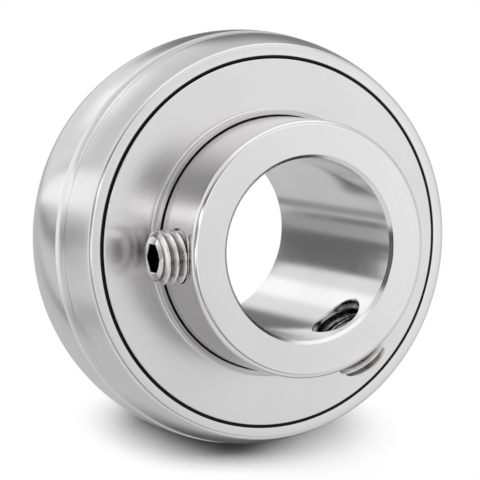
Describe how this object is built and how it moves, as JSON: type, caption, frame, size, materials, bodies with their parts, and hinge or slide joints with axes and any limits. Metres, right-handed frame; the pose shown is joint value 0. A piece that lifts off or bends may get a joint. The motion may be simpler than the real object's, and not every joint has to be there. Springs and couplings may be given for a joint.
{
  "type": "insert bearing",
  "caption": "Sealed insert ball bearing: spherical outside with a grease groove, flingers, and an extended inner ring that set screws lock to the shaft.",
  "frame": {"origin": "centre of the spherical outside, on the bore's axis", "axes": "+Z along the bore's axis towards the set-screw end; -X through the set screw that stands further out; the other set screw is at 302 degrees from +X towards +Y"},
  "size_m": [0.047, 0.047, 0.0266],
  "materials": {
    "ring_steel": "ground and polished stainless steel with fine turning marks",
    "sheet_steel": "pressed bright stainless sheet, satin",
    "screw_steel": "plain stainless steel with rolled threads",
    "ball_steel": "polished",
    "cage_steel": "pressed sheet, matt",
    "rivet_steel": "plain, with hammered heads",
    "rubber": "black moulded nitrile rubber, matt"
  },
  "bodies": {
    "outer": {"outer_ring": "ring_steel", "seal_front": "rubber", "seal_back": "rubber"},
    "inner": {"inner_ring": "ring_steel", "flinger_front": "sheet_steel", "flinger_back": "sheet_steel"},
    "cage": {"cage_front": "cage_steel", "cage_back": "cage_steel", "rivet_1": "rivet_steel", "rivet_2": "rivet_steel", "rivet_3": "rivet_steel", "rivet_4": "rivet_steel", "rivet_5": "rivet_steel", "rivet_6": "rivet_steel", "rivet_7": "rivet_steel", "rivet_8": "rivet_steel"},
    "ball_1": {"ball_1": "ball_steel"},
    "ball_2": {"ball_2": "ball_steel"},
    "ball_3": {"ball_3": "ball_steel"},
    "ball_4": {"ball_4": "ball_steel"},
    "ball_5": {"ball_5": "ball_steel"},
    "ball_6": {"ball_6": "ball_steel"},
    "ball_7": {"ball_7": "ball_steel"},
    "ball_8": {"ball_8": "ball_steel"},
    "screw_a": {"set_screw_a": "screw_steel"},
    "screw_b": {"set_screw_b": "screw_steel"}
  },
  "joints": [
    {"name": "inner_spin", "type": "hinge", "parent": "outer", "child": "inner", "pos_m": [0, 0, 0], "axis": [0, 0, 1], "continuous": true},
    {"name": "cage_spin", "type": "hinge", "parent": "outer", "child": "cage", "pos_m": [0, 0, 0], "axis": [0, 0, 1], "continuous": true},
    {"name": "ball_1_spin", "type": "hinge", "parent": "cage", "child": "ball_1", "pos_m": [0.01547, 0.00641, 0], "axis": [0, 0, 1], "continuous": true},
    {"name": "ball_2_spin", "type": "hinge", "parent": "cage", "child": "ball_2", "pos_m": [0.00641, 0.01547, 0], "axis": [0, 0, 1], "continuous": true},
    {"name": "ball_3_spin", "type": "hinge", "parent": "cage", "child": "ball_3", "pos_m": [-0.00641, 0.01547, 0], "axis": [0, 0, 1], "continuous": true},
    {"name": "ball_4_spin", "type": "hinge", "parent": "cage", "child": "ball_4", "pos_m": [-0.01547, 0.00641, 0], "axis": [0, 0, 1], "continuous": true},
    {"name": "ball_5_spin", "type": "hinge", "parent": "cage", "child": "ball_5", "pos_m": [-0.01547, -0.00641, 0], "axis": [0, 0, 1], "continuous": true},
    {"name": "ball_6_spin", "type": "hinge", "parent": "cage", "child": "ball_6", "pos_m": [-0.00641, -0.01547, 0], "axis": [0, 0, 1], "continuous": true},
    {"name": "ball_7_spin", "type": "hinge", "parent": "cage", "child": "ball_7", "pos_m": [0.00641, -0.01547, 0], "axis": [0, 0, 1], "continuous": true},
    {"name": "ball_8_spin", "type": "hinge", "parent": "cage", "child": "ball_8", "pos_m": [0.01547, -0.00641, 0], "axis": [0, 0, 1], "continuous": true},
    {"name": "screw_a_slide", "type": "slide", "parent": "inner", "child": "screw_a", "axis": [1, 0, 0], "range_m": [-0.001, 0.003]},
    {"name": "screw_b_slide", "type": "slide", "parent": "inner", "child": "screw_b", "axis": [-0.5299, 0.848, 0], "range_m": [-0.001, 0.002]}
  ],
  "couplings": [
    {"joint": "cage_spin", "follows": "inner_spin", "ratio": 0.38152},
    {"joint": "ball_1_spin", "follows": "inner_spin", "ratio": -1.9916},
    {"joint": "ball_2_spin", "follows": "inner_spin", "ratio": -1.9916},
    {"joint": "ball_3_spin", "follows": "inner_spin", "ratio": -1.9916},
    {"joint": "ball_4_spin", "follows": "inner_spin", "ratio": -1.9916},
    {"joint": "ball_5_spin", "follows": "inner_spin", "ratio": -1.9916},
    {"joint": "ball_6_spin", "follows": "inner_spin", "ratio": -1.9916},
    {"joint": "ball_7_spin", "follows": "inner_spin", "ratio": -1.9916},
    {"joint": "ball_8_spin", "follows": "inner_spin", "ratio": -1.9916}
  ]
}
